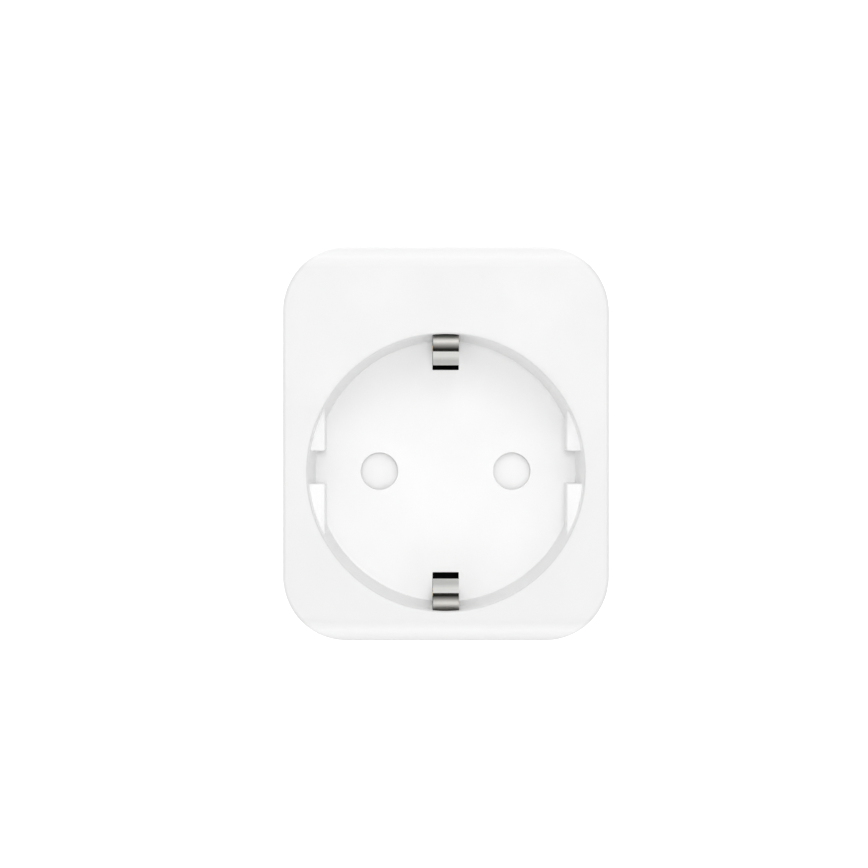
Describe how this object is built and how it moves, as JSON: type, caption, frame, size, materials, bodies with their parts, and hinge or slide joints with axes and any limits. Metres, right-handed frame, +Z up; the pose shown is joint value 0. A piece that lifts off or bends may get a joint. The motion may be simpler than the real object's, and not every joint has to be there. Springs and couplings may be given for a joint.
{
  "type": "plug-in power meter",
  "caption": "Compact white plug-through energy meter: earthed recessed socket on the front, earthed round plug on the back, metering and switching inside.",
  "frame": {"origin": "where the axis of the socket and plug meets the rear face of the housing, the face that lies against the wall plate", "axes": "+Y runs back along the plug pins into the wall, -Y out of the socket to the user, +X to the user's right, +Z up"},
  "size_m": [0.0458, 0.075, 0.0555],
  "materials": {
    "white_plastic": "satin white moulded polycarbonate",
    "natural_nylon": "natural glass-filled nylon",
    "clear_acrylic": "clear moulded acrylic",
    "led_body": "moulded LED package",
    "nickel_plate": "bright nickel plate on brass",
    "brass": "stamped brass",
    "zinc_steel": "zinc-plated steel",
    "spring_steel": "spring wire",
    "board_laminate": "glass-epoxy circuit board with solder mask",
    "relay_plastic": "moulded relay cover",
    "black_plastic": "moulded black component body",
    "copper": "enamelled copper winding and copper alloy strip",
    "capacitor_sleeve": "shrunk sleeve",
    "resistor_coat": "flameproof coating",
    "film_capacitor": "moulded film capacitor box",
    "varistor_epoxy": "dipped epoxy"
  },
  "bodies": {
    "housing": {"front_cover": "white_plastic", "rear_housing": "white_plastic", "housing_screw_1": "zinc_steel", "housing_screw_2": "zinc_steel", "housing_screw_3": "zinc_steel", "housing_screw_4": "zinc_steel", "contact_carrier": "natural_nylon", "carrier_screw_1": "zinc_steel", "carrier_screw_2": "zinc_steel", "shutter_spring": "spring_steel", "live_contact": "brass", "neutral_contact": "brass", "front_earth_yoke": "brass", "rear_earth_yoke": "nickel_plate", "earth_rivet": "brass", "french_earth_tube": "nickel_plate", "live_pin": "nickel_plate", "neutral_pin": "nickel_plate", "live_pin_terminal": "brass", "neutral_pin_terminal": "brass", "main_pcb": "board_laminate", "relay_base": "black_plastic", "relay_case": "relay_plastic", "relay_coil": "copper", "hv_capacitor": "capacitor_sleeve", "varistor": "varistor_epoxy", "x2_capacitor": "film_capacitor", "filter_choke": "black_plastic", "lv_capacitor": "capacitor_sleeve", "fusible_resistor": "resistor_coat", "current_shunt": "copper", "metering_ic": "black_plastic", "supply_ic": "black_plastic", "bridge_rectifier": "black_plastic", "control_pcb": "board_laminate", "tact_switch": "black_plastic", "status_led": "led_body", "light_pipe": "clear_acrylic", "radio_module": "board_laminate", "radio_shield": "zinc_steel", "insulating_card": "black_plastic"},
    "button": {"power_button": "white_plastic"},
    "switch_stem": {"switch_plunger": "black_plastic"},
    "shutter_rotor": {"shutter": "white_plastic"},
    "upper_earth_clip": {"earth_clip_top": "nickel_plate"},
    "lower_earth_clip": {"earth_clip_bottom": "nickel_plate"},
    "armature": {"relay_armature": "zinc_steel"}
  },
  "joints": [
    {"name": "button_press", "type": "slide", "parent": "housing", "child": "button", "axis": [0, 0, -1], "range_m": [0, 0.00035], "stiffness_N_per_m": 1500, "springref_m": -0.0005},
    {"name": "stem_press", "type": "slide", "parent": "housing", "child": "switch_stem", "axis": [0, 0, -1], "range_m": [0, 0.00035]},
    {"name": "shutter_turn", "type": "hinge", "parent": "housing", "child": "shutter_rotor", "pos_m": [0, -0.0185, 0], "axis": [0, -1, 0], "range_deg": [0, 40], "stiffness_Nm_per_rad": 0.01, "springref_deg": -28.65, "deforming": ["shutter_spring"]},
    {"name": "upper_clip_flex", "type": "hinge", "parent": "housing", "child": "upper_earth_clip", "pos_m": [0, -0.014, 0.01695], "axis": [-1, 0, 0], "range_deg": [0, 5], "stiffness_Nm_per_rad": 0.86},
    {"name": "lower_clip_flex", "type": "hinge", "parent": "housing", "child": "lower_earth_clip", "pos_m": [0, -0.014, -0.01695], "axis": [1, 0, 0], "range_deg": [0, 5], "stiffness_Nm_per_rad": 0.86},
    {"name": "armature_pull", "type": "hinge", "parent": "housing", "child": "armature", "pos_m": [-0.0013, -0.0096, 0.0235], "axis": [0, 0, -1], "range_deg": [0, 5], "stiffness_Nm_per_rad": 0.02, "springref_deg": -5.73}
  ],
  "couplings": [
    {"joint": "stem_press", "follows": "button_press", "ratio": 1}
  ]
}
